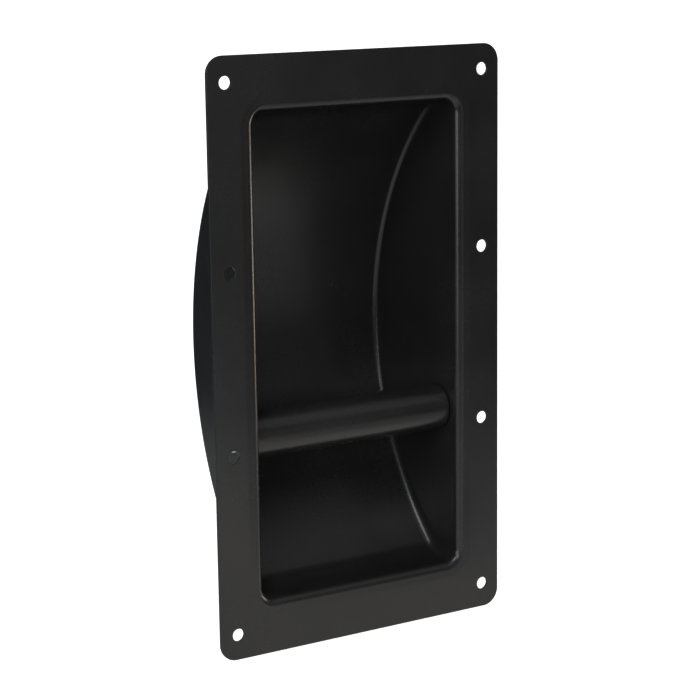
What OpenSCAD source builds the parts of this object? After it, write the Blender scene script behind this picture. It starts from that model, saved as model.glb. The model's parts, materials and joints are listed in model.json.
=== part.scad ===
// Recessed bar handle for a cabinet or a flight case.
// A deep-pressed steel dish with a flat flange, and a steel tube fixed across it as the grip.
// X runs across the handle, Y into the cabinet and Z up. The face of the flange lies on Y = 0,
// and the origin is the centre of the fixing holes.

/* [Flange] */
// Width of the flange
flange_w = 132; // [126:0.5:160]
// Height of the flange
flange_h = 233.4; // [226:0.2:280]
// Radius of the flange's corners
flange_corner_r = 7; // [3:0.5:12]
// Thickness of the pressed sheet
sheet_t = 1.2; // [0.8:0.1:1.8]

/* [Fixing holes] */
// Diameter of a fixing hole
hole_d = 5; // [3.5:0.1:6]
// From the flange's side edge to the middle of a hole
hole_edge_x = 7.9; // [6:0.1:10]
// From the flange's top or bottom edge to the middle of a hole
hole_edge_z = 10.05; // [6:0.05:12]
// Number of holes in each of the two columns
hole_rows = 4; // [2:1:6]

/* [Dish] */
// Width between the side walls at the mouth
mouth_w = 92; // [80:0.5:96]
// Height between the end walls at the mouth
mouth_h = 190.2; // [170:0.2:196]
// Depth of the dish inside, at its middle
dish_depth = 57.3; // [50:0.1:70]
// Depth at which the curved back would meet the end walls
end_depth = 14.4; // [12:0.1:24]
// Lean of the walls, in degrees
wall_draft = 2; // [1:0.1:5]
// Radius of the rolled rim between the flange and the walls, on the face side
rim_r = 3.3; // [2:0.1:4]
// Inside radius of the mouth's corners
corner_r = 5; // [3:0.1:6]
// Inside radius of the edges between the side walls and the back
back_edge_r = 2.8; // [1.5:0.1:3]
// Inside radius of the fold between the back and an end wall
end_fold_r = 16; // [8:0.5:18]

/* [Grip bar] */
// Outside diameter of the bar
bar_d = 19; // [15:0.5:24]
// Wall thickness of the bar's tube
bar_wall = 1.5; // [1:0.1:2]
// From the flange's face back to the front of the bar
bar_setback = 5; // [4:0.5:10]
// From the middle of the handle down to the middle of the bar
bar_drop = 31.6; // [0:0.2:45]

/* [Bar fixings] */
// Diameter of the screws' thread
screw_d = 6; // [4:0.5:6]
// Length of a screw under its head
screw_l = 16; // [12:1:20]
// Diameter of a screw's head
head_d = 12; // [10:0.5:13]
// Height of a screw's head
head_h = 4.6; // [3.5:0.1:5.5]
// Length of the tapped plug in each end of the bar
plug_l = 15; // [12:1:20]
// Outside diameter of a lock washer
washer_d = 11.8; // [10:0.1:13]
// Thickness of a lock washer
washer_t = 1.6; // [1:0.1:2.2]

/* [Clearances] */
// Radial gap between a screw and its hole in the wall
screw_hole_gap = 0.3; // [0.2:0.05:0.6]
// Radial gap between a screw and its plug or washer
thread_gap = 0.02; // [0.01:0.01:0.1]
// Radial gap between a plug and the tube
plug_gap = 0.02; // [0.01:0.01:0.1]
// Gap between pieces that bear on each other
seat_gap = 0.05; // [0.02:0.01:0.2]

/* [Hidden] */

BLACK_COAT = [0.15, 0.155, 0.165];
ZINC = [0.62, 0.63, 0.64];

// Steps along each curved stretch of the pressing
FOLD_STEPS = 7;
BACK_STEPS = 17;
EDGE_STEPS = 5;
ROLL_STEPS = 5;
// How far the pressing's own rim reaches into the flange, and where the flange's opening is
RIM_LAP = 1.5;
OPENING_LAP = 0.75;
// How far a cutting tool runs past the face that it cuts
CUT = 1;

// Walls: a side wall is the plane x cos + y sin = side_plane, and an end wall the same with z
lean_sin = sin(wall_draft);
lean_cos = cos(wall_draft);
wall_start_y = rim_r * (1 - lean_sin);
side_plane = mouth_w / 2 * lean_cos + wall_start_y * lean_sin;
end_plane = mouth_h / 2 * lean_cos + wall_start_y * lean_sin;
function side_x(y, plane) = (plane - y * lean_sin) / lean_cos;

// Back: a round arc about an axis along X, through the deepest point and the end walls' corners
end_z = (end_plane - end_depth * lean_sin) / lean_cos;
back_rise = dish_depth - end_depth;
back_r = (end_z * end_z + back_rise * back_rise) / (2 * back_rise);
back_y = dish_depth - back_r;

// Fold: its centre is end_fold_r from the end wall and back_r - end_fold_r from the back's axis
fold_off = end_plane - end_fold_r - back_y * lean_sin;
fold_run = sqrt(pow(back_r - end_fold_r, 2) - pow(fold_off, 2));
fold_y = back_y + fold_off * lean_sin + fold_run * lean_cos;
fold_z = fold_off * lean_cos - fold_run * lean_sin;
wall_angle = 90 - wall_draft;
fold_angle = atan2(fold_z, fold_y - back_y);

// Bar and its fixings
bar_y = bar_setback + bar_d / 2;
bar_z = -bar_drop;
bar_half_l = side_x(bar_y + bar_d / 2, side_plane) - seat_gap;
bore_r = bar_d / 2 - bar_wall;
washer_x = side_x(bar_y - washer_d / 2, side_plane + sheet_t) + seat_gap;
head_x = washer_x + washer_t + seat_gap;

// A station of the section through the middle of the dish is [y, z, angle of its outward normal].
// The upper half runs from the end wall over the fold and along the back; the lower mirrors it.
function fold_station(a) = [fold_y + end_fold_r * cos(a), fold_z + end_fold_r * sin(a), a];
function back_station(a) = [back_y + back_r * cos(a), back_r * sin(a), a];
function mirrored(s) = [s[0], -s[1], -s[2]];
upper = [
    for (i = [0:FOLD_STEPS]) fold_station(wall_angle + (fold_angle - wall_angle) * i / FOLD_STEPS),
    for (i = [1:BACK_STEPS - 1]) back_station(fold_angle * (1 - i / BACK_STEPS))
];
stations = [
    for (s = upper) s,
    back_station(0),
    for (i = [len(upper) - 1:-1:0]) mirrored(upper[i])
];

// The long edges are rounded by a ball that rolls between the back and a side wall. It is
// back_edge_r along the back and grows smoothly to corner_r at the end walls.
function smooth(f) = let (g = min(max(f, 0), 1)) g * g * (3 - 2 * g);
function edge_r(a) =
    let (start = fold_angle / 2)
    back_edge_r + (corner_r - back_edge_r) * smooth((abs(a) - start) / (wall_angle - start));
function ball_centre(s, side) =
    let (
        r = edge_r(s[2]),
        y = s[0] - r * cos(s[2]),
        z = s[1] - r * sin(s[2])
    )
    [side * (side_x(y, side_plane) - r / lean_cos), y, z];

// Outward normal on the ball, from the back's at step 0 to the side wall's at EDGE_STEPS
function edge_normal(a, side, step) =
    let (
        back_n = [0, cos(a), sin(a)],
        wall_n = [side * lean_cos, lean_sin, 0],
        turn = acos(back_n * wall_n),
        f = step / EDGE_STEPS
    )
    (sin((1 - f) * turn) * back_n + sin(f * turn) * wall_n) / sin(turn);
function edge_point(s, side, step, extra) =
    ball_centre(s, side) + (edge_r(s[2]) + extra) * edge_normal(s[2], side, step);

// At the mouth the same ball runs straight up the corner, and each point stops where the rim's
// roll takes over
function mouth_point(s, side, step, extra) =
    let (
        n = edge_normal(s[2], side, step),
        wall_n = [side * lean_cos, lean_sin, 0],
        along = cross([0, cos(s[2]), sin(s[2])], wall_n),
        p = edge_point(s, side, step, 0)
    )
    p + along * (rim_r * (1 - n[1]) - p[1]) / along[1] + extra * n;

// Columns of a row, from the left wall over the back to the right wall, as [side, step]
columns = [
    for (j = [EDGE_STEPS:-1:0]) [-1, j],
    for (j = [0:EDGE_STEPS]) [1, j]
];
row_n = len(columns);
top_station = stations[0];
bottom_station = stations[len(stations) - 1];
function skin(extra) = [
    for (c = columns) mouth_point(top_station, c[0], c[1], extra),
    for (s = stations) for (c = columns) edge_point(s, c[0], c[1], extra),
    for (c = columns) mouth_point(bottom_station, c[0], c[1], extra)
];
rows = len(stations) + 2;
skin_n = rows * row_n;

// The rim's loop runs clockwise round the mouth, seen from the front, as [station, side, step]
loop = [
    for (c = columns) [top_station, c[0], c[1]],
    for (i = [row_n - 1:-1:0]) [bottom_station, columns[i][0], columns[i][1]]
];
loop_n = len(loop);
function loop_normal(e) = edge_normal(e[0][2], e[1], e[2]);
function roll_centre(e) = mouth_point(e[0], e[1], e[2], 0) + rim_r * loop_normal(e);
function roll_point(e, step, extra) =
    let (
        n = loop_normal(e),
        face_n = [0, 1, 0],
        turn = acos(n * face_n),
        f = step / ROLL_STEPS
    )
    roll_centre(e)
        - (rim_r - extra) * (sin((1 - f) * turn) * n + sin(f * turn) * face_n) / sin(turn);
function lap_point(e, extra) =
    let (n = loop_normal(e), flat = [n[0], 0, n[2]])
    roll_point(e, ROLL_STEPS, extra) + RIM_LAP * flat / norm(flat);
function rim(extra) = [
    for (i = [1:ROLL_STEPS]) for (e = loop) roll_point(e, i, extra),
    for (e = loop) lap_point(e, extra)
];
rim_rings = ROLL_STEPS + 1;
side_n = skin_n + rim_rings * loop_n;

// Numbers of the points: the inner side comes first, then the outer side in the same order
function skin_i(row, col) = row * row_n + col;
function loop_i(e) = let (k = e % loop_n)
    k < row_n ? skin_i(0, k) : skin_i(rows - 1, loop_n - 1 - k);
function rim_i(ring, e) = ring == 0 ? loop_i(e) : skin_n + (ring - 1) * loop_n + e % loop_n;
function quad(a, b, c, d) = [[a, b, c], [a, c, d]];
function flipped(faces, shift) =
    [for (f = faces) [for (i = [len(f) - 1:-1:0]) f[i] + shift]];
inner_faces = [
    for (r = [0:rows - 2]) for (c = [0:row_n - 2])
        each quad(skin_i(r, c), skin_i(r, c + 1), skin_i(r + 1, c + 1), skin_i(r + 1, c)),
    [for (r = [0:rows - 1]) skin_i(r, 0)],
    [for (r = [rows - 1:-1:0]) skin_i(r, row_n - 1)],
    for (g = [0:rim_rings - 1]) for (e = [0:loop_n - 1])
        each quad(rim_i(g + 1, e), rim_i(g + 1, e + 1), rim_i(g, e + 1), rim_i(g, e))
];
edge_faces = [
    for (e = [0:loop_n - 1])
        each quad(rim_i(rim_rings, e), rim_i(rim_rings, e) + side_n,
                  rim_i(rim_rings, e + 1) + side_n, rim_i(rim_rings, e + 1))
];

// The deep-pressed part of the dish, from the rolled rim to the back
module pressing() {
    polyhedron(
        points = concat(skin(0), rim(0), skin(sheet_t), rim(sheet_t)),
        faces = concat(inner_faces, flipped(inner_faces, side_n), edge_faces),
        convexity = 6
    );
}

module rounded_rect(w, h, r) {
    square([w - 2 * r, h], center = true);
    square([w, h - 2 * r], center = true);
    for (sx = [-1, 1]) for (sz = [-1, 1])
        translate([sx * (w / 2 - r), sz * (h / 2 - r)]) circle(r, $fn = 64);
}

// Stands a flat outline up in the plane of the flange, with its thickness into +Y
module into_y(from, to) {
    translate([0, to, 0]) rotate([90, 0, 0]) linear_extrude(to - from) children();
}

module flange() {
    reach = rim_r * lean_cos + OPENING_LAP;
    difference() {
        into_y(0, sheet_t) rounded_rect(flange_w, flange_h, flange_corner_r);
        into_y(-CUT, sheet_t + CUT)
            rounded_rect(mouth_w + 2 * reach, mouth_h + 2 * reach, corner_r + reach);
    }
}

module fixing_holes() {
    column_x = flange_w / 2 - hole_edge_x;
    pitch = (flange_h - 2 * hole_edge_z) / (hole_rows - 1);
    for (sx = [-1, 1]) for (i = [0:hole_rows - 1])
        translate([sx * column_x, -CUT, -flange_h / 2 + hole_edge_z + i * pitch])
            rotate([-90, 0, 0]) cylinder(h = sheet_t + 2 * CUT, d = hole_d, $fn = 48);
}

// Puts a piece that is drawn along +Z at an end of the bar: side 1 is right, -1 is left.
// z = 0 becomes the middle plane of the handle.
module at_bar_end(side) {
    translate([0, bar_y, bar_z]) rotate([0, side * 90, 0]) children();
}

module dish() {
    color(BLACK_COAT) difference() {
        union() {
            flange();
            pressing();
        }
        fixing_holes();
        for (side = [-1, 1]) at_bar_end(side)
            cylinder(h = flange_w / 2, r = screw_d / 2 + screw_hole_gap, $fn = 48);
    }
}

module grip_bar() {
    color(BLACK_COAT) at_bar_end(1) difference() {
        cylinder(h = 2 * bar_half_l, d = bar_d, center = true, $fn = 96);
        cylinder(h = 2 * bar_half_l + 2 * CUT, r = bore_r, center = true, $fn = 96);
    }
}

// Steel plug, chamfered at its inner end and tapped right through
module plug(side) {
    chamfer = 0.8;
    plug_r = bore_r - plug_gap;
    hole_r = screw_d / 2 + thread_gap;
    color(ZINC) at_bar_end(side) translate([0, 0, bar_half_l - plug_l])
        rotate_extrude($fn = 96) polygon([
            [hole_r, 0], [plug_r - chamfer, 0], [plug_r, chamfer],
            [plug_r, plug_l], [hole_r, plug_l]
        ]);
}

// Split spring washer, pressed flat
module lock_washer(side) {
    split_w = 0.8;
    split_angle = 20;
    inner_r = screw_d / 2 + thread_gap;
    color(ZINC) at_bar_end(side) translate([0, 0, washer_x]) difference() {
        cylinder(h = washer_t, d = washer_d, $fn = 96);
        translate([0, 0, -CUT]) cylinder(h = washer_t + 2 * CUT, r = inner_r, $fn = 96);
        translate([0, 0, washer_t / 2]) rotate([split_angle, 0, 0])
            translate([0, -split_w / 2, -washer_t - CUT])
                cube([washer_d, split_w, 2 * washer_t + 2 * CUT]);
    }
}

// Pan-head machine screw with a cross recess and a chamfered tip
module screw(side) {
    dome_r = head_d * 0.85;
    recess_w = head_d * 0.58;
    recess_t = head_d * 0.13;
    recess_h = head_h * 0.6;
    tip = screw_d * 0.12;
    color(ZINC) at_bar_end(side) translate([0, 0, head_x]) difference() {
        union() {
            intersection() {
                cylinder(h = head_h, d = head_d, $fn = 96);
                translate([0, 0, head_h - dome_r]) sphere(dome_r, $fn = 96);
            }
            translate([0, 0, tip - screw_l]) cylinder(h = screw_l, d = screw_d, $fn = 96);
            translate([0, 0, -screw_l])
                cylinder(h = tip, r1 = screw_d / 2 - tip, r2 = screw_d / 2, $fn = 96);
        }
        intersection() {
            translate([0, 0, head_h - recess_h])
                cylinder(h = recess_h + CUT, r1 = recess_t / 2, r2 = recess_w / 2 + CUT, $fn = 96);
            union() {
                for (turn = [0, 90]) rotate([0, 0, turn])
                    translate([-recess_w / 2, -recess_t / 2, 0])
                        cube([recess_w, recess_t, head_h + CUT]);
            }
        }
    }
}

module left_plug() { plug(-1); }
module right_plug() { plug(1); }
module left_lock_washer() { lock_washer(-1); }
module right_lock_washer() { lock_washer(1); }
module left_screw() { screw(-1); }
module right_screw() { screw(1); }

dish();
grip_bar();
left_plug();
right_plug();
left_lock_washer();
right_lock_washer();
left_screw();
right_screw();
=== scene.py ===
"""Looks of a recessed bar handle: a black powder-coated steel dish with a round bar across it.

Everything is in metres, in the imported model's own frame: X runs across the handle, Y into the
cabinet and Z up, with the face of the flange on Y = 0.
"""

from __future__ import annotations

import json
import logging
import math
from dataclasses import dataclass, field
from enum import Enum
from functools import cached_property
from typing import Any, Sequence

import bpy
import numpy as np
from mathutils import Matrix, Vector
from mathutils.geometry import delaunay_2d_cdt

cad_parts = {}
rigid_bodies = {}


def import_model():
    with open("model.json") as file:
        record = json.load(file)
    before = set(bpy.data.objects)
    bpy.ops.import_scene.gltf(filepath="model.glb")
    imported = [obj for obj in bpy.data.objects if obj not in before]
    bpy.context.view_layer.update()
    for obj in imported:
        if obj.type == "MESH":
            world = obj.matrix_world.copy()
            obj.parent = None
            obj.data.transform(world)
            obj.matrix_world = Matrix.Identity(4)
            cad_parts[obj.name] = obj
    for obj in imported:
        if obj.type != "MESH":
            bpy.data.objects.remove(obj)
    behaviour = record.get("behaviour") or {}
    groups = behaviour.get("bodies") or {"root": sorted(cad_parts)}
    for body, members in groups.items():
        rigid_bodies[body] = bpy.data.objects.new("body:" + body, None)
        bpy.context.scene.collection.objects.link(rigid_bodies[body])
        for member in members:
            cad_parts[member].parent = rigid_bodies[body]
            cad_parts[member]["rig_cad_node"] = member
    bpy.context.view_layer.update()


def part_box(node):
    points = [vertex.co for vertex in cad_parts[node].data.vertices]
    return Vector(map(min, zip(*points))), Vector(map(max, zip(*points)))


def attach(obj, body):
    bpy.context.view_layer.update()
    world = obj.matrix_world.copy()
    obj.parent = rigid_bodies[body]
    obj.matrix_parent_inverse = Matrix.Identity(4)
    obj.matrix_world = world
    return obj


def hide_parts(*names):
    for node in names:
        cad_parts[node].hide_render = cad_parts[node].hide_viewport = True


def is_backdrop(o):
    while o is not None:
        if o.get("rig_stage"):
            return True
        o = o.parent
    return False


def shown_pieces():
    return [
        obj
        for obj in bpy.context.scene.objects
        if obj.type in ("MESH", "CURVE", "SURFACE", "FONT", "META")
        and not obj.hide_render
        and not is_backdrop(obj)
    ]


LOG = logging.getLogger("bar_handle")
MM = 0.001
ROOT_BODY = "root"
# Two points closer than this are one point of a mesh
WELD = 1e-7
# Two points closer than this are one point while a sheet is filled with triangles
FILL_WELD = 1e-9

Colour = tuple[float, float, float]
ArrayPair = tuple[np.ndarray, np.ndarray]


class Slot(Enum):
    """Material slots of the record, passed with each piece but not read."""

    COAT = "black_coat"
    ZINC = "zinc_steel"


class Side(Enum):
    """The two ends of the bar."""

    LEFT = -1
    RIGHT = 1


class Wire:
    """A value on a shader socket, with Python's operators on it."""

    def __init__(self, recipe: Recipe, socket: bpy.types.NodeSocket) -> None:
        """Keeps the socket and the recipe that it belongs to."""
        self.recipe = recipe
        self.socket = socket

    def _math(self, operation: str, first: Any, second: Any) -> Wire:
        """Adds one Math node on two values and returns its result."""
        return self.recipe.node("Math", {"operation": operation}, {0: first, 1: second})

    def __add__(self, other: Any) -> Wire:
        """This value plus another."""
        return self._math("ADD", self, other)

    def __mul__(self, other: Any) -> Wire:
        """This value times another."""
        return self._math("MULTIPLY", self, other)

    def __sub__(self, other: Any) -> Wire:
        """This value less another."""
        return self._math("SUBTRACT", self, other)

    def __rsub__(self, other: Any) -> Wire:
        """Another value less this one."""
        return self._math("SUBTRACT", other, self)

    __radd__ = __add__
    __rmul__ = __mul__

    def most(self, other: Any) -> Wire:
        """The larger of this value and another."""
        return self._math("MAXIMUM", self, other)

    def step(self, low: float = 0.3, high: float = 0.7) -> Wire:
        """A smooth step from 0 at low to 1 at high."""
        return self.recipe.node(
            "MapRange",
            {"interpolation_type": "SMOOTHSTEP", "clamp": True},
            {"Value": self, "From Min": low, "From Max": high},
        )


class Recipe:
    """The node tree of one material or of the world."""

    def __init__(self, owner: bpy.types.Material | bpy.types.World) -> None:
        """Empties the owner's node tree.

        Args:
            owner: The material or world whose nodes are written.
        """
        self.owner = owner
        owner.use_nodes = True
        self.tree = owner.node_tree
        self.tree.nodes.clear()
        self.output = "OutputWorld" if isinstance(owner, bpy.types.World) else "OutputMaterial"

    def node(
        self,
        kind: str,
        settings: dict[str, Any] | None = None,
        inputs: dict[str | int, Any] | None = None,
        output: str | int = 0,
    ) -> Wire:
        """Adds a node, sets its settings first, then its sockets' values or links.

        Args:
            kind: The node's type without the word ShaderNode, such as TexNoise.
            settings: Properties of the node itself.
            inputs: A value or a wire for each named or numbered input socket.
            output: The name or number of the output that is returned.

        Returns:
            The chosen output as a wire.
        """
        made = self.tree.nodes.new("ShaderNode" + kind)
        for name, value in (settings or {}).items():
            setattr(made, name, value)
        for name, value in (inputs or {}).items():
            socket = made.inputs[name]
            if isinstance(value, Wire):
                self.tree.links.new(value.socket, socket)
            else:
                socket.default_value = value
        # The node that ends the tree has inputs only
        ends = made.outputs or made.inputs
        return Wire(self, ends[output])

    def noise(self, size: float, detail: float = 3.0) -> Wire:
        """Smooth noise from 0 to 1, fixed to the piece, with blotches of about a size in metres."""
        place = self.node("TexCoord", output="Object")
        return self.node("TexNoise", None, {"Vector": place, "Scale": 1 / size, "Detail": detail})

    def bump(self, height: Wire) -> Wire:
        """The normal of a surface that stands out by a height, in metres."""
        return self.node("Bump", None, {"Height": height, "Distance": 1.0})

    def blend(self, amount: Wire, low: Colour, high: Colour) -> Wire:
        """A colour from the low one, where the amount is 0, to the high one, where it is 1."""
        inputs = {"Factor": amount, 6: (*low, 1), 7: (*high, 1)}
        return self.node("Mix", {"data_type": "RGBA"}, inputs, output=2)

    def surface(self, shader: Wire) -> bpy.types.Material | bpy.types.World:
        """Makes a shader the surface of the material or world, which is returned."""
        self.node(self.output, None, {"Surface": shader})
        return self.owner


@dataclass(frozen=True)
class PowderCoat:
    """Black satin powder coat on steel: a dark base under a fine, faintly pebbled skin."""

    name: str = "satin_black_powder_coat"
    dark: Colour = (0.0080, 0.0080, 0.0082)
    pale: Colour = (0.0124, 0.0124, 0.0126)
    ior: float = 1.42
    roughness: float = 0.26
    roughness_spread: float = 0.05
    grain: float = 0.45 * MM
    grain_share: float = 0.4
    peel: float = 2.4 * MM
    blotch: float = 28 * MM
    grain_height: float = 0.0065 * MM
    peel_height: float = 0.010 * MM

    def material(self) -> bpy.types.Material:
        """Writes the material.

        Returns:
            The coat, with grain and peel as a bump, and blotches in its colour and sheen.
        """
        recipe = Recipe(bpy.data.materials.new(self.name))
        grain = recipe.noise(self.grain)
        blotch = recipe.noise(self.blotch)
        peel = recipe.noise(self.peel, detail=1.0)
        shade = grain * self.grain_share + blotch * (1 - self.grain_share)
        shader = recipe.node(
            "BsdfPrincipled",
            None,
            {
                "Base Color": recipe.blend(shade.step(), self.dark, self.pale),
                "Roughness": self.roughness + (blotch - 0.5) * (2 * self.roughness_spread),
                "Normal": recipe.bump(grain * self.grain_height + peel * self.peel_height),
                "IOR": self.ior,
            },
        )
        return recipe.surface(shader)


@dataclass(frozen=True)
class ZincPlate:
    """Bright zinc plate on small steel turned parts."""

    name: str = "bright_zinc_plate"
    dull: Colour = (0.50, 0.51, 0.53)
    bright: Colour = (0.68, 0.69, 0.70)
    roughness: float = 0.28
    roughness_spread: float = 0.1
    cloud: float = 2.5 * MM
    grain: float = 0.2 * MM
    grain_height: float = 0.002 * MM

    def material(self) -> bpy.types.Material:
        """Writes the material.

        Returns:
            Bright metal with clouds in its colour and sheen, and a faint grain.
        """
        recipe = Recipe(bpy.data.materials.new(self.name))
        cloud = recipe.noise(self.cloud)
        grain = recipe.noise(self.grain, detail=2.0)
        shader = recipe.node(
            "BsdfPrincipled",
            None,
            {
                "Base Color": recipe.blend(cloud.step(), self.dull, self.bright),
                "Roughness": self.roughness + (cloud - 0.5) * (2 * self.roughness_spread),
                "Metallic": 1.0,
                "Normal": recipe.bump(grain * self.grain_height),
            },
        )
        return recipe.surface(shader)


@dataclass(frozen=True)
class WhitePaper:
    """White paper round the handle: white to the eye, and as pale as its glow to reflections. On
    the patches under the handle the glow is painted light.
    """

    name: str
    # Strength of the glow in gloss and through glass: the sweep's plain white, and painted light on
    # the patches under the handle
    glow: float = 0.0
    tint: Colour = (1.0, 1.0, 1.0)
    colour: Colour = (0.85, 0.85, 0.85)

    def material(self) -> bpy.types.Material:
        """Writes the material.

        Returns:
            Paper that takes the handle's shadow, with a glow on top of it: white where the
            camera sees it, and with its own strength and tint in gloss and through glass, which on
            the patches under the handle is painted light.
        """
        recipe = Recipe(bpy.data.materials.new(self.name))
        eye, gloss, glass = (
            recipe.node("LightPath", output=f"Is {kind} Ray")
            for kind in ("Camera", "Glossy", "Transmission")
        )
        paper = shader = recipe.node("BsdfDiffuse", None, {"Color": (*self.colour, 1)})
        glows = (gloss.most(glass), self.tint, self.glow), (eye, (1, 1, 1), 1.0)
        for ray, tint, strength in glows:
            glow = recipe.node("Emission", None, {"Color": (*tint, 1), "Strength": strength})
            lit = recipe.node("AddShader", None, {0: paper, 1: glow})
            shader = recipe.node("MixShader", None, {0: ray, 1: shader, 2: lit})
        return recipe.surface(shader)


def stacked(*parts: np.ndarray | float) -> np.ndarray:
    """Parts of like shapes as one array, with the parts on its last axis."""
    return np.stack(np.broadcast_arrays(*parts), -1)


def towards(azimuth: float, elevation: float) -> Vector:
    """The unit vector (sin a cos e, -cos a cos e, sin e), with a from the front to the right."""
    level = math.cos(elevation)
    return Vector((math.sin(azimuth) * level, -math.cos(azimuth) * level, math.sin(elevation)))


def smooth_step(value: np.ndarray) -> np.ndarray:
    """The curve 3 t squared less 2 t cubed, with t held between 0 and 1."""
    t = np.clip(value, 0, 1)
    return t * t * (3 - 2 * t)


def turned(start: np.ndarray, end: np.ndarray, part: np.ndarray) -> np.ndarray:
    """Unit vectors on the great circle from one unit vector to another.

    The point at a part f of the turn t is (sin((1 - f) t) start + sin(f t) end) / sin(t).

    Args:
        start: Unit vectors, with x, y and z on the last axis.
        end: Unit vectors of a shape that broadcasts with them.
        part: How far round, from 0 to 1, of a like shape without the last axis.

    Returns:
        The unit vectors between.
    """
    turn = np.arccos(np.clip((start * end).sum(-1), -1, 1))
    first, second = np.sin((1 - part) * turn), np.sin(part * turn)
    return (first[..., None] * start + second[..., None] * end) / np.sin(turn)[..., None]


def soft_edges(first: float, second: float, steps: int) -> ArrayPair:
    """Angles of the two quarter circles that soften a square edge, and each one's centre."""
    quarter = np.linspace(0, math.pi / 2, steps + 1)
    return np.concatenate([quarter, quarter + math.pi / 2]), np.repeat([first, second], steps + 1)


def rounded_loop(half_w: float, half_h: float, radius: float, steps: int) -> np.ndarray:
    """A rounded rectangle, clockwise seen from the front.

    Each corner is a quarter circle about its own centre, and the straight sides join them.

    Args:
        half_w: Half its width.
        half_h: Half its height.
        radius: Radius of its corners.
        steps: Steps along each corner.

    Returns:
        Rows of x, z, and the outward direction's x and z.
    """
    turn = np.radians(np.linspace(0, 90, steps + 1))
    angle = np.array([math.pi, math.pi / 2, 0, -math.pi / 2])[:, None] - turn
    sx, sz = np.array([[-1, 1, 1, -1], [1, 1, -1, -1]])[..., None]
    nx, nz = np.cos(angle), np.sin(angle)
    x = sx * (half_w - radius) + radius * nx
    z = sz * (half_h - radius) + radius * nz
    return stacked(x, z, nx, nz).reshape(-1, 4)


def circle_loop(x: float, z: float, radius: float, steps: int) -> np.ndarray:
    """A circle round a hole, with directions out of the sheet and into the hole.

    Args:
        x: Its centre across.
        z: Its centre up.
        radius: Its radius.
        steps: Number of points.

    Returns:
        Rows of x, z, and the inward direction's x and z.
    """
    angle = np.linspace(0, 2 * math.pi, steps, endpoint=False)
    nx, nz = np.cos(angle), np.sin(angle)
    return stacked(x + radius * nx, z + radius * nz, -nx, -nz)


def sheet_fill(outer: np.ndarray, holes: Sequence[np.ndarray]) -> ArrayPair:
    """Triangles between an outline and the holes in it, in the outline's plane.

    Args:
        outer: The outline's points, as rows of two values, in order.
        holes: The outline of each hole, in order.

    Returns:
        The points of all the outlines together, and the triangles on them.
    """
    loops = [outer, *holes]
    points = np.concatenate(loops)
    starts = np.cumsum([0] + [len(loop) for loop in loops])
    rounds = [start + np.arange(len(loop)) for loop, start in zip(loops, starts)]
    edges = [stacked(numbers, np.roll(numbers, -1)) for numbers in rounds]
    # Points, edges, no faces, 1 for triangles inside the edges, the weld, and no list of origins
    filled = delaunay_2d_cdt(
        list(map(Vector, points.tolist())), np.concatenate(edges).tolist(), [], 1, FILL_WELD, False
    )
    triangles = np.array(filled[2], dtype=np.int64)
    middles = points[triangles].mean(1)
    open_parts = np.any([inside(middles, hole) for hole in holes], axis=0)
    return points, triangles[inside(middles, outer) & ~open_parts]


def inside(points: np.ndarray, loop: np.ndarray) -> np.ndarray:
    """Which points lie inside a closed outline, by counting the sides to their right.

    Args:
        points: Rows of two values.
        loop: The outline's points, in order.

    Returns:
        True for each point inside.
    """
    x, z = points[:, 0:1], points[:, 1:2]
    x0, z0 = loop[:, 0], loop[:, 1]
    x1, z1 = np.roll(x0, -1), np.roll(z0, -1)
    spans = (z0 > z) != (z1 > z)
    rise = np.where(z1 == z0, 1.0, z1 - z0)
    return np.count_nonzero(spans & (x < x0 + (z - z0) * (x1 - x0) / rise), axis=1) % 2 == 1


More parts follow.
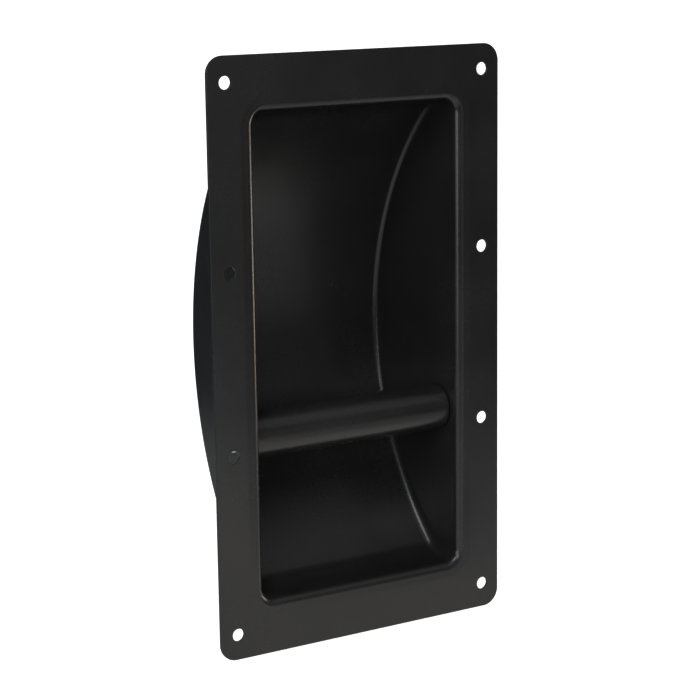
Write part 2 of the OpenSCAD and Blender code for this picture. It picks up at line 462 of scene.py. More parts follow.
@dataclass
class Skin:
    """A mesh in the making: points with their outward normals, and triangles on them."""

    points: list[np.ndarray] = field(default_factory=list)
    normals: list[np.ndarray] = field(default_factory=list)
    triangles: list[np.ndarray] = field(default_factory=list)

    def add(self, points: np.ndarray, normals: np.ndarray, triangles: np.ndarray) -> None:
        """Adds a surface.

        Args:
            points: Points, with x, y and z on the last axis.
            normals: The surface's outward normals there, of any shape that broadcasts.
            triangles: Triangles, as rows of three point numbers, wound either way.
        """
        self.triangles.append(triangles + sum(map(len, self.points)))
        self.normals.append(np.broadcast_to(normals, points.shape).reshape(-1, 3))
        self.points.append(points.reshape(-1, 3))

    def add_grid(
        self, grid: np.ndarray, normals: np.ndarray, rows: bool = False, cols: bool = False
    ) -> None:
        """Adds a surface given as a grid of points, two triangles to each cell.

        Args:
            grid: Points, as rows by columns by three.
            normals: The surface's outward normals there.
            rows: Joins the last row to the first.
            cols: Joins the last column to the first.
        """
        high, wide = grid.shape[:2]
        i = np.arange(high if rows else high - 1)[:, None]
        j = np.arange(wide if cols else wide - 1)[None, :]
        below, beside = (i + 1) % high * wide, (j + 1) % wide
        a, b, c, d = i * wide + j, i * wide + beside, below + beside, below + j
        cells = np.concatenate([stacked(a, b, c), stacked(a, c, d)])
        self.add(grid, normals, cells.reshape(-1, 3))

    @cached_property
    def welded(self) -> tuple[np.ndarray, np.ndarray, np.ndarray]:
        """All surfaces as one: points that fall together joined, triangles facing their normals.

        Returns:
            Points, unit normals and triangles.
        """
        points = np.concatenate(self.points)
        triangles = np.concatenate(self.triangles)
        keys = np.round(points / WELD).astype(np.int64)
        _, first, back = np.unique(keys, axis=0, return_index=True, return_inverse=True)
        back = back.reshape(-1)
        normals = np.zeros((len(first), 3))
        np.add.at(normals, back, np.concatenate(self.normals))
        normals /= np.linalg.norm(normals, axis=1, keepdims=True)
        points, triangles = points[first], back[triangles]
        a, b, c = triangles.T
        triangles = triangles[(a != b) & (b != c) & (c != a)]
        a, b, c = points[triangles.T]
        facing = (np.cross(b - a, c - a) * normals[triangles].sum(1)).sum(1)
        triangles = np.where(facing[:, None] < 0, triangles[:, ::-1], triangles)
        return points, normals, triangles

    def mesh_object(self, name: str, finish: bpy.types.Material) -> bpy.types.Object:
        """Puts the welded surfaces into a smooth mesh object at the origin.

        Args:
            name: Name of the object and its mesh.
            finish: The material.

        Returns:
            The object, linked to the scene.
        """
        points, normals, triangles = self.welded
        mesh = bpy.data.meshes.new(name)
        mesh.from_pydata(points.tolist(), [], triangles.tolist(), shade_flat=False)
        mesh.validate()
        mesh.normals_split_custom_set_from_vertices(normals)
        mesh.materials.append(finish)
        made = bpy.data.objects.new(name, mesh)
        bpy.context.scene.collection.objects.link(made)
        return made

    def piece(self, name: str, finish: bpy.types.Material, slot: Slot, node: str) -> None:
        """Makes the mesh that stands for a CAD node on the one body, and reports it.

        Args:
            name: Name of the piece.
            finish: Its material.
            slot: The record's material slot for it; not used.
            node: The CAD node that it replaces.
        """
        made = self.mesh_object(name, finish)
        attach(made, ROOT_BODY)
        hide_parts(node)
        count, loose, volume = len(self.welded[2]), self.loose_edges(), self.volume() / MM**3
        LOG.info("%s: %d triangles, %d loose edges, %.0f cubic mm", name, count, loose, volume)

    def stage(self, paper: WhitePaper) -> None:
        """Makes a sheet of paper that is marked as stage."""
        self.mesh_object(paper.name, paper.material())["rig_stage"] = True

    def loose_edges(self) -> int:
        """Counts the edges that aren't closed by just one triangle from the far side.

        Returns:
            Their number, which is 0 for a closed shape.
        """
        points, _, triangles = self.welded
        start, end = triangles.ravel(), np.roll(triangles, -1, axis=1).ravel()
        there, back = start * len(points) + end, end * len(points) + start
        return np.count_nonzero(~np.isin(there, back)) + len(there) - len(np.unique(there))

    def volume(self) -> float:
        """The volume inside, a sixth of the sum of the triangles' triple products."""
        a, b, c = self.welded[0][self.welded[2].T]
        return float((a * np.cross(b, c)).sum() / 6)


@dataclass
class PressedDish:
    """The steel dish: a flange, a rolled rim, four leaning walls and a round back, in one sheet.

    The inner and outer sides come from the same formulas, a sheet's thickness apart. The flange's
    size and the bar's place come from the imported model.
    """

    flange_half_w: float
    flange_half_h: float
    bar_y: float
    bar_z: float
    coat: bpy.types.Material
    flange_corner: float = 7 * MM
    sheet: float = 1.2 * MM
    hole_r: float = 2.5 * MM
    hole_x: float = 58.1 * MM
    hole_top: float = 106.65 * MM
    hole_rows: int = 4
    mouth_half_w: float = 46 * MM
    mouth_half_h: float = 95.1 * MM
    depth: float = 57.3 * MM
    end_depth: float = 14.4 * MM
    draft: float = math.radians(2)
    rim_r: float = 3.3 * MM
    corner_r: float = 5 * MM
    back_edge_r: float = 2.8 * MM
    fold_r: float = 16 * MM
    screw_hole_r: float = 3.3 * MM
    # Softness that the coat and the press leave on the sheet's cut edges and round the rim
    edge_soft: float = 0.25 * MM
    rim_sink: float = 0.10 * MM
    sink_share: float = 0.5
    margin_w: float = 3.2 * MM
    fold_steps: int = 16
    back_steps: int = 112
    corner_steps: int = 12
    across_steps: int = 12
    roll_steps: int = 14
    margin_steps: int = 8
    edge_steps: int = 4
    flange_steps: int = 16
    hole_steps: int = 64
    skin: Skin = field(default_factory=Skin)

    def side_x(self, y: np.ndarray | float, plane: float) -> np.ndarray | float:
        """Where a leaning wall stands at depth y: x cos + y sin of the lean is constant on it."""
        return (plane - y * math.sin(self.draft)) / math.cos(self.draft)

    def wall_plane(self, half: float) -> float:
        """Distance of a leaning wall's plane, for half the mouth's width or height."""
        roll_depth = self.rim_r * (1 - math.sin(self.draft))
        return half * math.cos(self.draft) + roll_depth * math.sin(self.draft)

    @cached_property
    def side_plane(self) -> float:
        """Distance of the inner side walls' planes."""
        return self.wall_plane(self.mouth_half_w)

    @cached_property
    def stations(self) -> np.ndarray:
        """The section through the middle of the dish, from the upper end wall to the lower one.

        The back is an arc about an axis along X, and each fold a smaller arc that touches the
        back and an end wall.

        Returns:
            Rows of y, z and the angle of the outward normal from +Y towards +Z.
        """
        s, c = math.sin(self.draft), math.cos(self.draft)
        end_plane = self.wall_plane(self.mouth_half_h)
        end_z = self.side_x(self.end_depth, end_plane)
        rise = self.depth - self.end_depth
        back_r = (end_z**2 + rise**2) / (2 * rise)
        back_y = self.depth - back_r
        off = end_plane - self.fold_r - back_y * s
        run = math.sqrt((back_r - self.fold_r) ** 2 - off**2)
        fold_y = back_y + off * s + run * c
        fold_z = off * c - run * s
        fold_angle = math.atan2(fold_z, fold_y - back_y)
        fold = np.linspace(math.pi / 2 - self.draft, fold_angle, self.fold_steps + 1)
        back = np.linspace(fold_angle, -fold_angle, self.back_steps + 1)[1:-1]
        upper = stacked(
            fold_y + self.fold_r * np.cos(fold), fold_z + self.fold_r * np.sin(fold), fold
        )
        middle = stacked(back_y + back_r * np.cos(back), back_r * np.sin(back), back)
        return np.concatenate([upper, middle, upper[::-1] * [1, -1, -1]])

    def edge_r(self, angle: np.ndarray) -> np.ndarray:
        """Radius of the ball that rounds the long edges: small on the back, larger at the ends.

        It grows by a smooth step, which starts halfway from the back's middle to the folds.

        Args:
            angle: The outward normal's angle, as in stations.

        Returns:
            The radius at each station.
        """
        top = math.pi / 2 - self.draft
        start = abs(self.stations[self.fold_steps, 2]) / 2
        grow = smooth_step((np.abs(angle) - start) / (top - start))
        return self.back_edge_r + (self.corner_r - self.back_edge_r) * grow

    def edge_band(self, side: Side, extra: float) -> ArrayPair:
        """The rounded edge between the back and one side wall.

        A ball rolls along the edge. A point is the ball's centre plus its radius times a
        direction that turns from the back's normal to the wall's.

        Args:
            side: Left or right wall.
            extra: 0 for the inner side of the sheet, its thickness for the outer side.

        Returns:
            Points and outward directions, as stations by steps by three.
        """
        y, z, angle = self.stations.T
        radius = self.edge_r(angle)
        cy, cz = y - radius * np.cos(angle), z - radius * np.sin(angle)
        cx = side.value * (self.side_x(cy, self.side_plane) - radius / math.cos(self.draft))
        back_n = stacked(0, np.cos(angle), np.sin(angle))[:, None, :]
        part = np.linspace(0, 1, self.corner_steps + 1)
        direction = turned(back_n, self.wall_normal(side), part[None, :])
        centre = stacked(cx, cy, cz)[:, None, :]
        return centre + (radius + extra)[:, None, None] * direction, direction

    def wall_normal(self, side: Side) -> np.ndarray:
        """The outward normal of a side wall."""
        return np.array([side.value * math.cos(self.draft), math.sin(self.draft), 0.0])

    def mouth_row(self, side: Side, end: int, extra: float) -> ArrayPair:
        """The end of the rounded corner at the mouth, where the rim's roll takes over.

        Each point of the first or last station slides along the corner until the roll, whose
        radius is rim_r, would just touch the flange's face.

        Args:
            side: Left or right wall.
            end: 0 for the top and -1 for the bottom.
            extra: As in edge_band.

        Returns:
            Points and outward directions, as steps by three.
        """
        points, direction = self.edge_band(side, 0.0)
        point, n = points[end], direction[end]
        along = np.cross(n[0], n[-1])
        slide = (self.rim_r * (1 - n[:, 1]) - point[:, 1]) / along[1]
        return point + slide[:, None] * along + extra * n, n

    def skin_grid(self, extra: float) -> ArrayPair:
        """The back, the folds, the end walls and the rounded edges as one grid.

        The columns run from the left wall over the back to the right wall; straight rulings
        join the two rounded edges across the back. The first and last rows are at the mouth.

        Args:
            extra: As in edge_band.

        Returns:
            Points and outward directions, as rows by columns by three.
        """
        halves = []
        for side in Side:
            top, bottom = (self.mouth_row(side, end, extra) for end in (0, -1))
            rows = zip(top, self.edge_band(side, extra), bottom)
            halves.append([np.concatenate([a[None], band, b[None]]) for a, band, b in rows])
        part = np.linspace(0, 1, self.across_steps + 1)[None, 1:-1, None]
        grids = []
        for left, right in zip(*halves):
            across = left[:, :1] * (1 - part) + right[:, :1] * part
            grids.append(np.concatenate([left[:, ::-1], across, right], axis=1))
        return grids[0], grids[1]

    def rim_grid(self, extra: float) -> ArrayPair:
        """The rolled rim and the narrow sunk margin round it.

        A point of the roll is its centre less a radius times a direction that turns from the
        wall's normal to the face's. The margin runs on flat. The rim sinks by a little, as pressed
        sheet does, which grows over a share of the roll and fades out over the margin.

        Args:
            extra: As in edge_band.

        Returns:
            Points and normals towards +Y, as rings by loop points by three, from the walls out
            to the flat flange. The loop runs clockwise seen from the front.
        """
        grid, ways = self.skin_grid(0.0)
        points = np.concatenate([grid[0], grid[-1, ::-1]])
        n = np.concatenate([ways[0], ways[-1, ::-1]])
        part = np.linspace(0, 1, self.roll_steps + 1)[:, None]
        face = np.array([0.0, 1.0, 0.0])
        direction = turned(n, face, part)
        roll = points + self.rim_r * n - (self.rim_r - extra) * direction
        flat = n * [1, 0, 1]
        flat /= np.linalg.norm(flat, axis=1, keepdims=True)
        reach = np.linspace(0, self.margin_w, self.margin_steps + 1)[1:, None]
        margin = roll[-1] + reach[..., None] * flat
        rings = np.concatenate([roll, margin])
        ways = np.concatenate([direction, np.broadcast_to(face, margin.shape)])
        along = np.cross(np.gradient(rings, axis=0, edge_order=2), ways)
        sink = [smooth_step(part / self.sink_share), 1 - smooth_step(reach / self.margin_w)]
        rings[..., 1] += self.rim_sink * np.concatenate(sink)
        normals = np.cross(along, np.gradient(rings, axis=0, edge_order=2))
        normals[0], normals[-1] = ways[0], ways[-1]
        return rings, normals / np.linalg.norm(normals, axis=-1, keepdims=True)

    def edge_profile(self) -> tuple[np.ndarray, np.ndarray, np.ndarray]:
        """The profile of a cut edge: a quarter circle, the straight edge and another quarter.

        Returns:
            For each step, as columns: how far it stands out from the edge, how deep in the sheet
            it lies, and its normal's angle from straight out of the first face.
        """
        soft = self.edge_soft
        turn, middle = soft_edges(soft, self.sheet - soft, self.edge_steps)
        out, deep = soft * (np.sin(turn) - 1), middle - soft * np.cos(turn)
        return out[:, None], deep[:, None], turn[:, None]

    def cut_edge(self, loop: np.ndarray) -> ArrayPair:
        """The flange's cut edge along an outline, with its two corners softened.

        Args:
            loop: Rows of x, z, and the direction out of the sheet.

        Returns:
            Points and normals, as profile steps by loop points by three, from face to back.
        """
        out, deep, turn = self.edge_profile()
        x, z, nx, nz = loop.T
        points = x + out * nx, deep, z + out * nz
        ways = np.sin(turn) * nx, -np.cos(turn), np.sin(turn) * nz
        return stacked(*points), stacked(*ways)

    def add_flange(self) -> None:
        """Adds the flange's two faces, its outer edge and the edges of its fixing holes."""
        pitch = 2 * self.hole_top / (self.hole_rows - 1)
        half_w, half_h = self.flange_half_w, self.flange_half_h
        outer = self.cut_edge(rounded_loop(half_w, half_h, self.flange_corner, self.flange_steps))
        holes = [
            self.cut_edge(circle_loop(side.value * self.hole_x, z, self.hole_r, self.hole_steps))
            for side in Side
            for z in self.hole_top - pitch * np.arange(self.hole_rows)
        ]
        for edge in (outer, *holes):
            self.skin.add_grid(*edge, cols=True)
        for face, extra in ((0, 0.0), (-1, self.sheet)):
            facing = np.array([0.0, 1.0 if extra else -1.0, 0.0])
            rings, normals = self.rim_grid(extra)
            self.skin.add_grid(rings, normals * facing[1], cols=True)
            flat, triangles = sheet_fill(
                outer[0][face][:, [0, 2]],
                [rings[-1][:, [0, 2]], *(hole[0][face][:, [0, 2]] for hole in holes)],
            )
            self.skin.add(np.insert(flat, 1, extra, axis=1), facing, triangles)

    def screw_hole(self, side: Side) -> ArrayPair:
        """The edge of the hole for the bar's screw in a leaning side wall, softened likewise.

        Args:
            side: Left or right wall.

        Returns:
            Points and normals, as profile steps by loop points by three, from inside to outside.
        """
        out, deep, turn = self.edge_profile()
        hole = circle_loop(self.bar_y, self.bar_z, self.screw_hole_r, self.hole_steps)
        y, z, ny, nz = hole.T
        y, z = y + out * ny, z + out * nz
        x = side.value * self.side_x(y, self.side_plane + deep)
        ahead, outward = np.sin(turn)[..., None], np.cos(turn)[..., None]
        return stacked(x, y, z), ahead * stacked(0, ny, nz) - outward * self.wall_normal(side)

    def add_walls(self) -> None:
        """Adds the two side walls, with the holes for the bar's screws, inside and outside."""
        grids = {extra: self.skin_grid(extra)[0] for extra in (0.0, self.sheet)}
        for side, column in ((Side.LEFT, 0), (Side.RIGHT, -1)):
            rings, normals = self.screw_hole(side)
            self.skin.add_grid(rings, normals, cols=True)
            for (extra, grid), ring in zip(grids.items(), (rings[0], rings[-1])):
                edge = grid[:, column]
                _, triangles = sheet_fill(edge[:, 1:], [ring[:, 1:]])
                normal = self.wall_normal(side) * (1 if extra else -1)
                self.skin.add(np.concatenate([edge, ring]), normal, triangles)

    def build(self) -> None:
        """Makes the dish: the back with its folds and end walls, the side walls and the flange."""
        for extra, facing in ((0.0, -1), (self.sheet, 1)):
            grid, directions = self.skin_grid(extra)
            self.skin.add_grid(grid, facing * directions)
        self.add_walls()
        self.add_flange()
        self.skin.piece("pressed_dish", self.coat, Slot.COAT, "dish")


@dataclass
class Turning:
    """Something round on the bar's axis.

    A place on it is given by how far it is from the handle's middle, towards one end of the bar,
    by its radius, and by its angle round the axis from +Y towards +Z.
    """

    bar_y: float
    bar_z: float
    finish: bpy.types.Material
    side: Side = Side.RIGHT
    steps: int = 160

    @cached_property
    def angles(self) -> np.ndarray:
        """Even steps once round the axis."""
        return np.linspace(0, 2 * math.pi, self.steps, endpoint=False)

    def facing(self, along: np.ndarray, outward: np.ndarray, angle: np.ndarray) -> np.ndarray:
        """Directions (side times along, outward cos, outward sin) as one array."""
        return stacked(self.side.value * along, outward * np.cos(angle), outward * np.sin(angle))

    def carried(self, along: np.ndarray, radius: np.ndarray, angle: np.ndarray) -> np.ndarray:
        """Points on it: the directions of facing, measured from the bar's axis."""
        return self.facing(along, radius, angle) + [0, self.bar_y, self.bar_z]

    def slopes_normals(self, grid: np.ndarray) -> np.ndarray:
        """Normals of a grid that closes round the axis and whose end rows are points on it.

        A normal is the cross product of the grid's slopes down its rows and round its columns.

        Args:
            grid: Points, as rows by columns by three, from the outer end inwards.

        Returns:
            Unit normals, of the same shape.
        """
        down = np.gradient(grid, axis=0)
        around = np.roll(grid, -1, axis=1) - np.roll(grid, 1, axis=1)
        normals = self.side.value * np.cross(down, around)
        normals[0] = [self.side.value, 0, 0]
        normals[-1] = [-self.side.value, 0, 0]
        return normals / np.linalg.norm(normals, axis=-1, keepdims=True)


@dataclass(kw_only=True)
class GripBar(Turning):
    """The grip: a round steel tube, square cut with softened edges, coated as the dish is."""

    half_l: float
    radius: float
    wall: float = 1.5 * MM
    edge_soft: float = 0.3 * MM
    edge_steps: int = 6

    def build(self) -> None:
        """Makes the bar.

        Half the profile runs along the outside, round the softened edge, down the square end,
        round the inner edge and back along the bore; the other half mirrors it.
        """
        soft = self.edge_soft
        bore = self.radius - self.wall
        turn, middle = soft_edges(self.radius - soft, bore + soft, self.edge_steps)
        ahead, outward = np.sin(turn), np.cos(turn)
        along, radius = self.half_l - soft + soft * ahead, middle + soft * outward
        half = stacked(along, radius, ahead, outward)
        profile = np.concatenate([half, half[::-1] * [-1, 1, -1, 1]])
        along, radius, ahead, outward = profile.T[..., None]
        skin = Skin()
        skin.add_grid(
            self.carried(along, radius, self.angles),
            self.facing(ahead, outward, self.angles),
            rows=True,
            cols=True,
        )
        skin.piece("grip_tube", self.finish, Slot.COAT, "grip_bar")


@dataclass(kw_only=True)
class PanScrew(Turning):
    """A pan-head machine screw with a cross recess, seen from outside the dish's side wall.

    Places along it are measured from its head's underside, which is seat from the middle of the
    handle.
    """

    seat: float
    shank_l: float
    head_r: float = 6 * MM
    head_h: float = 4.6 * MM
    dome_r: float = 10.2 * MM
    head_soft: float = 0.45 * MM
    recess_half: float = 0.78 * MM
    recess_floor: float = 1.84 * MM
    recess_slope: float = 1.02
    recess_soft: float = 0.22 * MM
    shank_r: float = 3 * MM
    tip: float = 0.72 * MM
    pitch: float = 1 * MM
    thread_depth: float = 0.55 * MM
    thread_flat: float = 0.15
    runout: float = 1.2 * MM
    steps: int = 96
    dome_steps: int = 34
    shoulder_steps: int = 6
    thread_steps: int = 9

    def top(self) -> ArrayPair:
        """The domed top with its cross recess.

        The dome is a sphere. The recess is where the smaller of the two distances from the
        cross's arms is under half an arm's width; its floor rises in a straight line from the
        middle out to the dome, and its walls are a smooth step.

        Returns:
            Places along the screw and radii, as rings by angles.
        """
        reach = np.linspace(0, self.head_r - self.head_soft, self.dome_steps + 1)[:, None]
        dome = self.head_h - self.dome_r + np.sqrt(self.dome_r**2 - reach**2)
        floor = self.recess_floor + self.recess_slope * np.maximum(reach - self.recess_half, 0)
        across = reach * np.minimum(np.abs(np.cos(self.angles)), np.abs(np.sin(self.angles)))
        within = smooth_step((self.recess_half + self.recess_soft - across) / self.recess_soft)
        along = dome - within * np.maximum(dome - floor, 0)
        return along, np.broadcast_to(reach, along.shape)

    def rim(self) -> ArrayPair:
        """The head's rounded shoulder, its side and its underside.

        The shoulder and the lower edge are quarter circles.

        Returns:
            Places along the screw and radii, as rings by one.
        """
        soft, low = self.head_soft, self.head_soft / 2
        edge = self.head_r - soft
        start = self.head_h - self.dome_r + math.sqrt(self.dome_r**2 - edge**2)
        turn = np.radians(np.linspace(0, 90, self.shoulder_steps + 1))[1:, None]
        sin, cos = np.sin(turn), np.cos(turn)
        along = np.concatenate([start - soft + soft * cos, low - low * sin])
        radius = np.concatenate([edge + soft * sin, self.head_r - low + low * cos])
        return along, radius

    def shank(self) -> ArrayPair:
        """The threaded shank and its bevelled tip.

        A right-hand thread: the radius is shank_r less thread_depth times a triangle wave of
        the place along the screw over the pitch, less the angle over a full turn. The wave is
        clipped to a flat crest and root. It fades out under the head, and the tip's bevel cuts
        it off.

        Returns:
            Places along the screw and radii, as rings by angles.
        """
        count = round(self.shank_l / self.pitch * self.thread_steps)
        along = np.linspace(0, -self.shank_l, count + 1)[:, None]
        turn = (self.seat + along) / self.pitch - self.side.value * self.angles / (2 * math.pi)
        flat = self.thread_flat
        wave = np.clip(np.abs(2 * (turn % 1) - 1) * (1 + 2 * flat) - flat, 0, 1)
        fade = smooth_step(-along / self.runout)
        radius = self.shank_r - self.thread_depth * wave * fade
        bevel = self.shank_r - self.tip + (self.shank_l + along)
        return np.broadcast_to(along, radius.shape), np.minimum(radius, bevel)

    def build(self) -> None:
        """Makes the screw: its profile's rings, one after the other, down to the tip's middle."""
        name = self.side.name.lower()
        end = (np.full((1, 1), -self.shank_l), np.zeros((1, 1)))
        parts = [
            [np.broadcast_to(part, (len(part), self.steps)) for part in pair]
            for pair in (self.top(), self.rim(), self.shank(), end)
        ]
        along, radius = (np.concatenate(column) for column in zip(*parts))
        grid = self.carried(self.seat + along, radius, self.angles)
        skin = Skin()
        skin.add_grid(grid, self.slopes_normals(grid), cols=True)
        skin.piece(f"{name}_pan_screw", self.finish, Slot.ZINC, f"{name}_screw")


@dataclass(kw_only=True)
class LockWasher(Turning):
    """A split spring washer, pressed flat under a screw's head."""

    seat: float
    thickness: float
    inner_r: float = 3.02 * MM
    outer_r: float = 5.9 * MM
    soft: float = 0.25 * MM
    split_w: float = 0.8 * MM
    split_lean: float = math.radians(20)
    steps: int = 120
    edge_steps: int = 3

    def build(self) -> None:
        """Makes the washer.

        A rectangle with rounded corners, and its middle for the two end faces, are carried round
        the axis from one face of the split to the other. The split leans, so each point of the
        section starts at an angle that grows with its place along the axis, and half the split's
        width away from its middle.
        """
        half_t, half_w = self.thickness / 2, (self.outer_r - self.inner_r) / 2
        loop = rounded_loop(half_t, half_w, self.soft, self.edge_steps)
        across, out, ahead, outward = np.append(loop, np.zeros((1, 4)), axis=0).T
        radius = (self.inner_r + self.outer_r) / 2 + out
        lean = -self.side.value * math.tan(self.split_lean) * across / radius
        gap = self.split_w / 2 / math.cos(self.split_lean) / radius
        part = np.linspace(0, 1, self.steps + 1)[:, None]
        start = -self.side.value * math.pi / 2 + lean + gap
        angle = start + part * (2 * math.pi - 2 * gap)
        grid = self.carried(self.seat + half_t + across, radius, angle)
        normals = self.facing(ahead, outward, angle)
        skin = Skin()
        skin.add_grid(grid[:, :-1], normals[:, :-1], cols=True)
        fan = np.arange(len(loop))
        triangles = stacked(fan, np.roll(fan, -1), len(fan))
        for end, before in ((0, 1), (-1, -2)):
            ways = grid[end] - grid[before]
            skin.add(grid[end], ways / np.linalg.norm(ways, axis=-1, keepdims=True), triangles)
        name = self.side.name.lower()
        skin.piece(f"{name}_spring_washer", self.finish, Slot.ZINC, f"{name}_lock_washer")


@dataclass
class Fixings:
    """What holds the bar from outside: a plug in each end of it, a lock washer and a screw.

    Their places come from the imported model, and the plugs, which nothing shows, keep their CAD
    shape.
    """

    bar_y: float
    bar_z: float
    plate: bpy.types.Material

    def build(self) -> None:
        """Makes the screws and the washers and dresses the plugs."""
        for side in Side:
            name = side.name.lower()
            screw, washer = (
                sorted(abs(corner.x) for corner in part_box(f"{name}_{kind}"))
                for kind in ("screw", "lock_washer")
            )
            common, head_h = (self.bar_y, self.bar_z, self.plate, side), PanScrew.head_h
            shank_l = screw[1] - screw[0] - head_h
            PanScrew(*common, seat=screw[1] - head_h, shank_l=shank_l).build()
            LockWasher(*common, seat=washer[0], thickness=washer[1] - washer[0]).build()
            plug = next(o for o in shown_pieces() if o.get("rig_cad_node") == f"{name}_plug")
            plug.data.materials.clear()
            plug.data.materials.append(self.plate)
            LOG.info("%s_plug: dressed as %s", name, self.plate.name)


@dataclass(frozen=True)
class PhotoCamera:
    """The photograph's viewpoint: in front of the handle, to its left and a little above."""

    place: tuple[float, float, float] = (-0.42497, -0.67165, 0.16024)
    azimuth: float = math.radians(31.99)
    look_down: float = math.radians(11.43)
    roll: float = math.radians(0.765)
    lens: float = 106.17
    sensor: float = 36.0
    clip_start: float = 0.01

    def build(self) -> None:
        """Makes the camera and gives it to the scene."""
        forward = -towards(-self.azimuth, self.look_down)
        level = Vector((math.cos(self.azimuth), -math.sin(self.azimuth), 0))
        right = level * math.cos(self.roll) - level.cross(forward) * math.sin(self.roll)
        up = right.cross(forward)
        data = bpy.data.cameras.new("photo_camera")
        data.lens = self.lens
        data.sensor_width = self.sensor
        data.clip_start = self.clip_start
        made = bpy.data.objects.new("photo_camera", data)
        turn = Matrix((right, up, -forward)).transposed()
        made.matrix_world = Matrix.Translation(self.place) @ turn.to_4x4()
        bpy.context.scene.collection.objects.link(made)
        bpy.context.scene.camera = made


@dataclass(frozen=True)
class SoftBox:
    """A square lamp that faces the handle, placed by its direction and distance from it."""

    name: str
    azimuth: float
    elevation: float
    size: float
    power: float
    colour: Colour = (1, 1, 1)
    distance: float = 1.5

    def build(self) -> None:
        """Makes the lamp, turned towards the handle's centre."""
        back = towards(math.radians(self.azimuth), math.radians(self.elevation))
        data = bpy.data.lights.new(self.name, "AREA")
        data.shape = "SQUARE"
        data.size = self.size
        data.energy = self.power
        data.color = self.colour
        made = bpy.data.objects.new(self.name, data)
        made.location = back * self.distance
        made.rotation_mode = "QUATERNION"
        made.rotation_quaternion = back.to_track_quat("Z", "Y")
        bpy.context.scene.collection.objects.link(made)


@dataclass(frozen=True)
class RingSheet:
    """A sheet on the table, part of a ring round the point below the handle: the table itself, and
    each patch of painted light on it.
    """

    azimuths: tuple[float, float]
    reach: tuple[float, float]
    paper: WhitePaper
    steps: int = 24

    def build(self, height: float) -> None:
        """Makes the sheet, marked as stage.

        A point lies at (r sin a, -r cos a), with azimuths a from the front towards the right.

        Args:
            height: Where it lies.
        """
        angle = np.radians(np.linspace(*self.azimuths, self.steps + 1))
        away = np.array(self.reach)[:, None]
        skin = Skin()
        grid = stacked(away * np.sin(angle), -away * np.cos(angle), height)
        skin.add_grid(grid, np.array([0.0, 0.0, 1.0]))
        skin.stage(self.paper)


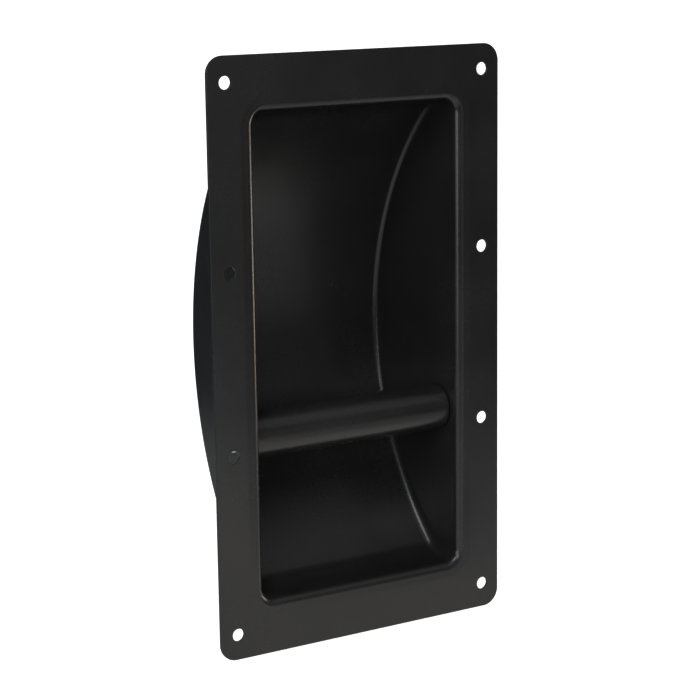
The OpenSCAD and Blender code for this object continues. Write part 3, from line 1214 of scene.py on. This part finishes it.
@dataclass
class Studio:
    """A white table under the handle with patches of painted light on it, a white sweep behind it,
    soft lamps and a dim room.

    The lamps at the left stand for the panes of one tall window.
    """

    heading: float
    paper: WhitePaper = WhitePaper("paper_sweep", glow=1.0)
    floor_z: float = -1.0
    near: float = -0.3
    far: float = 1.0
    half_w: float = 0.5
    bend_r: float = 0.25
    bend_steps: int = 24
    wall_h: float = 1.6
    table_z: float = -0.125
    # How far the patches of painted light lie above the table
    patch_lift: float = 0.5 * MM
    table: RingSheet = RingSheet((-180, 180), (0.0, 0.45), WhitePaper("white_table"))
    # Painted light: patches on the table that glow with their own strength and tint in gloss and
    # through glass, standing in for pools of light falling there; to the camera they are white like
    # the table.
    painted_light_patches: tuple[RingSheet, ...] = (
        RingSheet((-90, 90), (0.0, 0.12), WhitePaper("card_below", 0.52, (1.0, 0.97, 0.83))),
        RingSheet((0, 20), (0.12, 0.45), WhitePaper("card_in_front", 0.8, (1.0, 0.97, 0.88))),
        RingSheet((48, 90), (0.12, 0.28), WhitePaper("card_at_right", 0.35, (0.82, 0.9, 1.0))),
        RingSheet((-90, 0), (0.12, 0.28), WhitePaper("card_at_left", 0.41, (1.0, 0.92, 0.89))),
    )
    room: Colour = (0.05, 0.05, 0.05)
    lamps: tuple[SoftBox, ...] = (
        SoftBox("window_left_low", -60, 0, 0.4, 2.0),
        SoftBox("window_left", -60, 14, 0.4, 0.82),
        SoftBox("window_low", -48, 14, 0.4, 1.27),
        SoftBox("window_middle", -48, 28, 0.4, 1.4, (0.92, 0.95, 1.0)),
        SoftBox("window_high", -48, 42, 0.4, 3.6),
        SoftBox("window_top", -37, 56, 0.4, 3.4, (1.0, 0.95, 0.9)),
        SoftBox("window_right_low", -36, 14, 0.4, 1.26),
        SoftBox("window_right", -36, 28, 0.4, 0.9, (0.92, 0.97, 1.0)),
        SoftBox("window_edge", -24, 14, 0.4, 1.66),
        SoftBox("window_frame", -66, 7, 0.9, 1.65, (0.94, 0.98, 1.0)),
        SoftBox("side_left", -76, 8, 0.5, 2.0),
        SoftBox("overhead", 0, 60, 1.2, 3.0, (0.75, 0.86, 1.0)),
        SoftBox("front_fill", 12, -5, 0.9, 1.1, (0.92, 0.94, 1.0)),
        SoftBox("front_right", 32, 20, 0.9, 0.35, (0.85, 0.9, 1.0)),
        SoftBox("high_front_right", 35, 45, 0.9, 0.8, (1.0, 0.87, 0.72)),
        SoftBox("high_right", 60, 45, 0.9, 0.42, (0.77, 0.86, 1.0)),
        SoftBox("warm_right", 80, 3, 0.7, 2.0, (1.0, 0.92, 0.84)),
        SoftBox("warm_card_right", 82, -4.5, 0.15, 0.42, (1.0, 0.84, 0.68), 0.45),
        SoftBox("cool_back_left", -125, -15, 0.7, 2.0, (0.34, 0.82, 1.0)),
    )

    def build(self) -> None:
        """Makes the papers, the patches of painted light, the room's light and the lamps."""
        bpy.context.scene.view_settings.view_transform = "Standard"
        self.build_sweep()
        self.table.build(self.table_z - self.patch_lift)
        for patch in self.painted_light_patches:
            patch.build(self.table_z)
        world = bpy.data.worlds.new("room")
        bpy.context.scene.world = world
        recipe = Recipe(world)
        recipe.surface(recipe.node("Background", None, {"Color": (*self.room, 1)}))
        for lamp in self.lamps:
            lamp.build()

    def build_sweep(self) -> None:
        """Makes the sweep: flat, then a quarter circle up, then an upright wall.

        It runs away from the camera, along the camera's heading.
        """
        turn = np.linspace(0, math.pi / 2, self.bend_steps + 1)
        bend = self.far - self.bend_r
        away = np.concatenate([[self.near], bend + self.bend_r * np.sin(turn), [self.far]])
        up = np.concatenate([[0], self.bend_r * (1 - np.cos(turn)), [self.wall_h]])
        lean = np.concatenate([[0], turn, [math.pi / 2]])
        ahead = np.array([math.sin(self.heading), math.cos(self.heading), 0])
        aside = np.array([math.cos(self.heading), -math.sin(self.heading), 0])
        above = np.array([0, 0, 1])
        middle = away[:, None] * ahead + (self.floor_z + up)[:, None] * above
        grid = middle[:, None] + self.half_w * np.array([-1, 1])[:, None] * aside
        normals = np.cos(lean)[:, None] * above - np.sin(lean)[:, None] * ahead
        skin = Skin()
        skin.add_grid(grid, normals[:, None])
        skin.stage(self.paper)


def main() -> None:
    """Builds the handle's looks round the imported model, piece by piece."""
    logging.basicConfig(level=logging.INFO, format="%(name)s: %(message)s")
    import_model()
    dish_low, dish_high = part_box("dish")
    bar_low, bar_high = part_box("grip_bar")
    flange, bar, bar_at = dish_high - dish_low, bar_high - bar_low, (bar_low + bar_high) / 2
    coat = PowderCoat().material()
    plate = ZincPlate().material()
    PressedDish(flange.x / 2, flange.z / 2, bar_at.y, bar_at.z, coat).build()
    GripBar(bar_at.y, bar_at.z, coat, half_l=bar.x / 2, radius=bar.z / 2).build()
    Fixings(bar_at.y, bar_at.z, plate).build()
    camera = PhotoCamera()
    camera.build()
    Studio(camera.azimuth).build()


if __name__ == "__main__":
    main()
